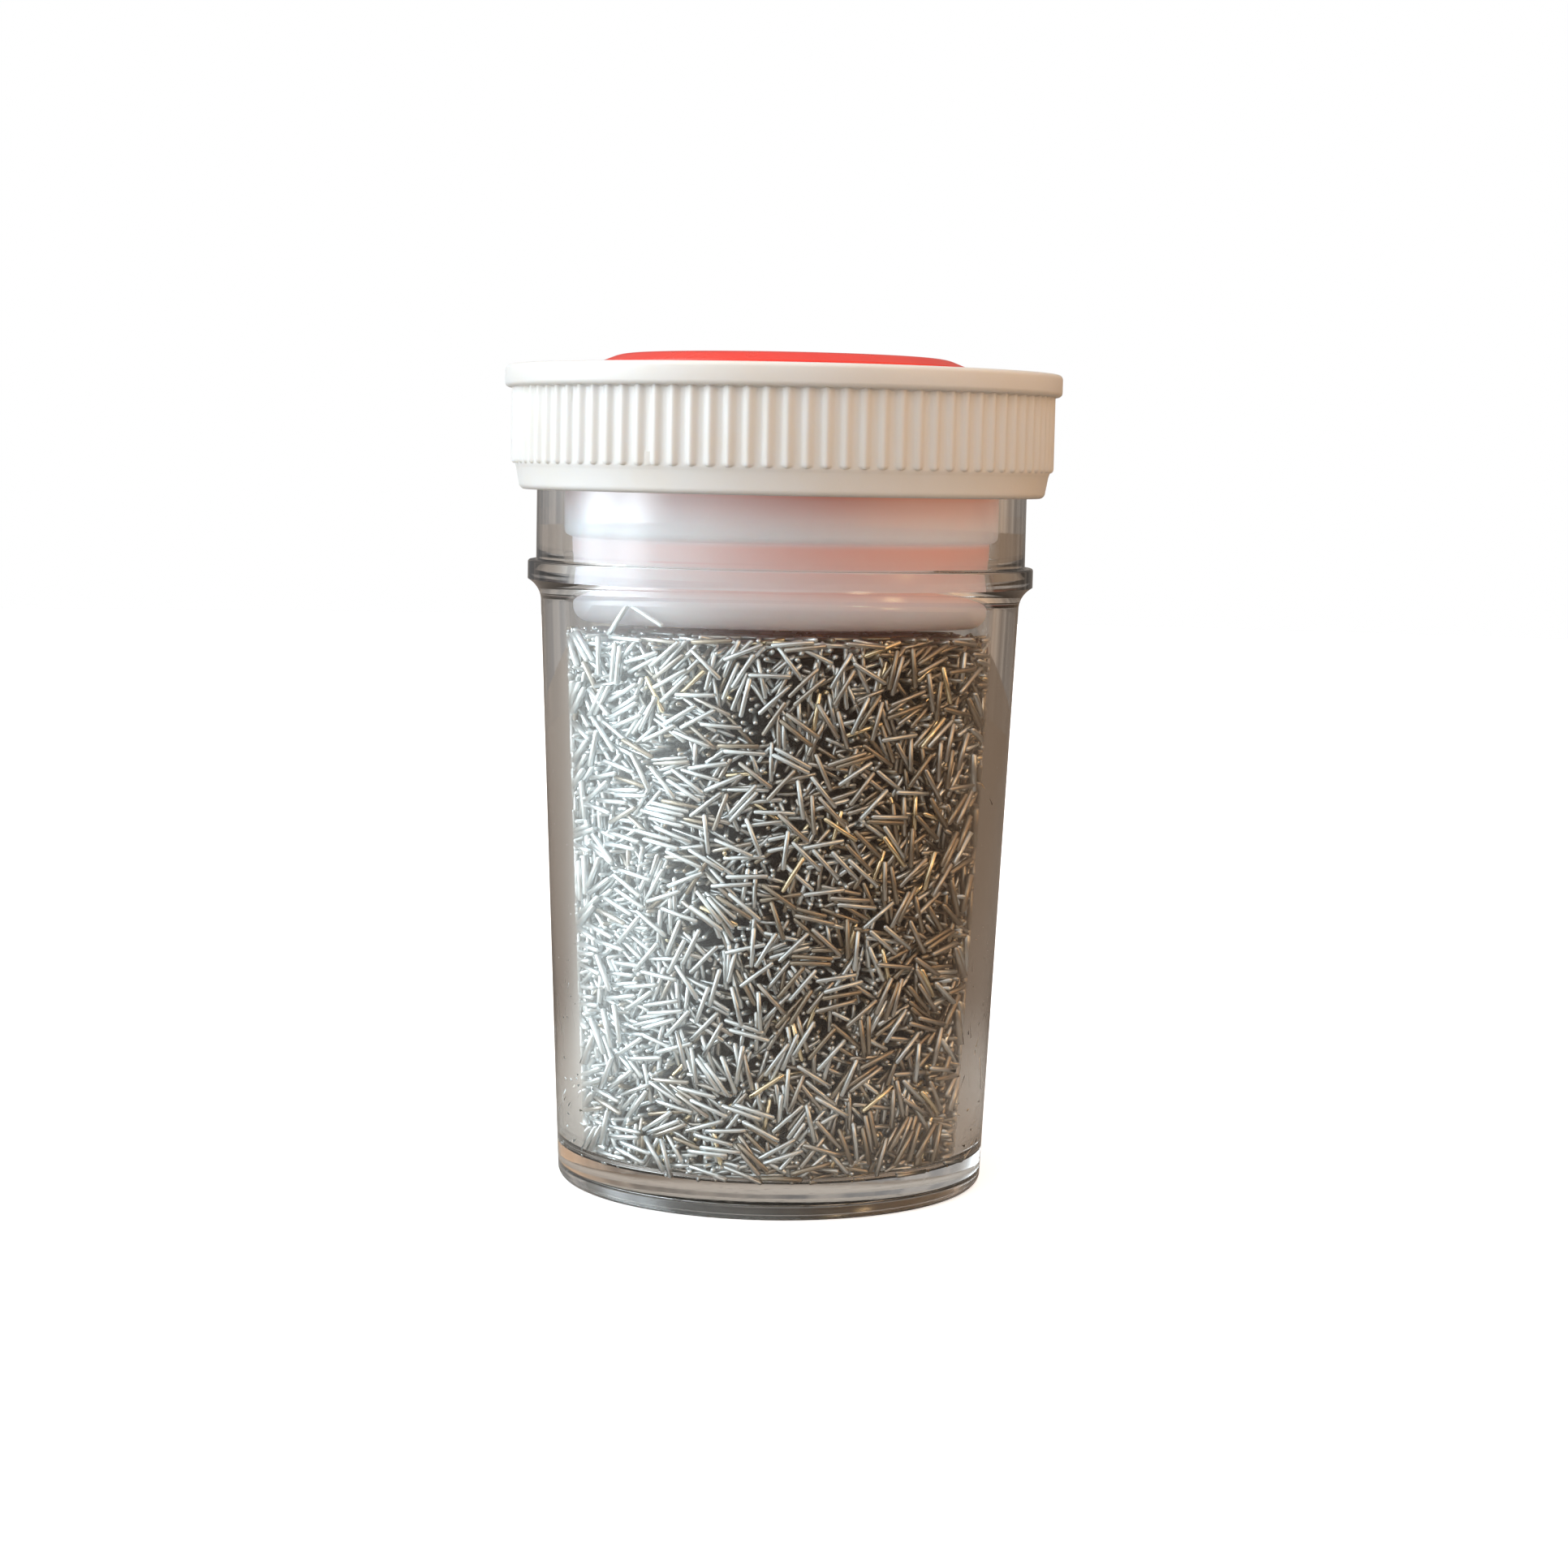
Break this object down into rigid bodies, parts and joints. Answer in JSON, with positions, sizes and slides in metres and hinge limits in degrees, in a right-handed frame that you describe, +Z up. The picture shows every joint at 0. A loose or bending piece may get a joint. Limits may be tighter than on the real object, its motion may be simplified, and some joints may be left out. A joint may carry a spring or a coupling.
{
  "type": "screw-top jar of tumbling pins",
  "caption": "Clear tapered screw-top jar with a ribbed white cap, a red top disc and a milky plug cup, full of polished steel tumbling pins.",
  "frame": {"origin": "centre of the base, on the plane the jar stands on", "axes": "+Z up along the jar's axis towards the cap; -Y is the front the jar is shown from; the body is round, so +X has no mark of its own"},
  "size_m": [0.0702, 0.0702, 0.1051],
  "materials": {
    "clear_plastic": "polished",
    "steel": "polished",
    "milky_plastic": "satin",
    "white_plastic": "satin",
    "red_plastic": "satin"
  },
  "bodies": {
    "jar": {"jar": "clear_plastic", "pin_bed": "steel", "pin_01": "steel", "pin_02": "steel", "pin_03": "steel", "pin_04": "steel", "pin_05": "steel", "pin_06": "steel", "pin_07": "steel", "pin_08": "steel", "pin_09": "steel", "pin_10": "steel", "pin_11": "steel", "pin_12": "steel", "pin_13": "steel", "pin_14": "steel", "pin_15": "steel", "pin_16": "steel", "pin_17": "steel", "pin_18": "steel", "pin_19": "steel", "pin_20": "steel", "pin_21": "steel", "pin_22": "steel", "pin_23": "steel", "pin_24": "steel", "pin_25": "steel", "pin_26": "steel", "pin_27": "steel", "pin_28": "steel", "pin_29": "steel", "pin_30": "steel", "pin_31": "steel", "pin_32": "steel", "pin_33": "steel", "pin_34": "steel", "pin_35": "steel", "pin_36": "steel", "pin_37": "steel", "pin_38": "steel", "pin_39": "steel", "pin_40": "steel", "pin_41": "steel", "pin_42": "steel", "pin_43": "steel", "pin_44": "steel", "pin_45": "steel", "pin_46": "steel", "pin_47": "steel", "pin_48": "steel", "pin_49": "steel"},
    "plug": {"plug_cup": "milky_plastic"},
    "cap": {"cap_ring": "white_plastic", "red_disc": "red_plastic"}
  },
  "joints": [
    {"name": "closure_lift", "type": "slide", "parent": "jar", "child": "plug", "axis": [0, 0, 1], "range_m": [0, 0.0401]},
    {"name": "cap_turn", "type": "hinge", "parent": "plug", "child": "cap", "pos_m": [0, 0, 0.0955], "axis": [0, 0, 1], "range_deg": [0, 1200]}
  ],
  "couplings": [
    {"joint": "closure_lift", "follows": "cap_turn", "m_per_rad": 0.0019099}
  ]
}
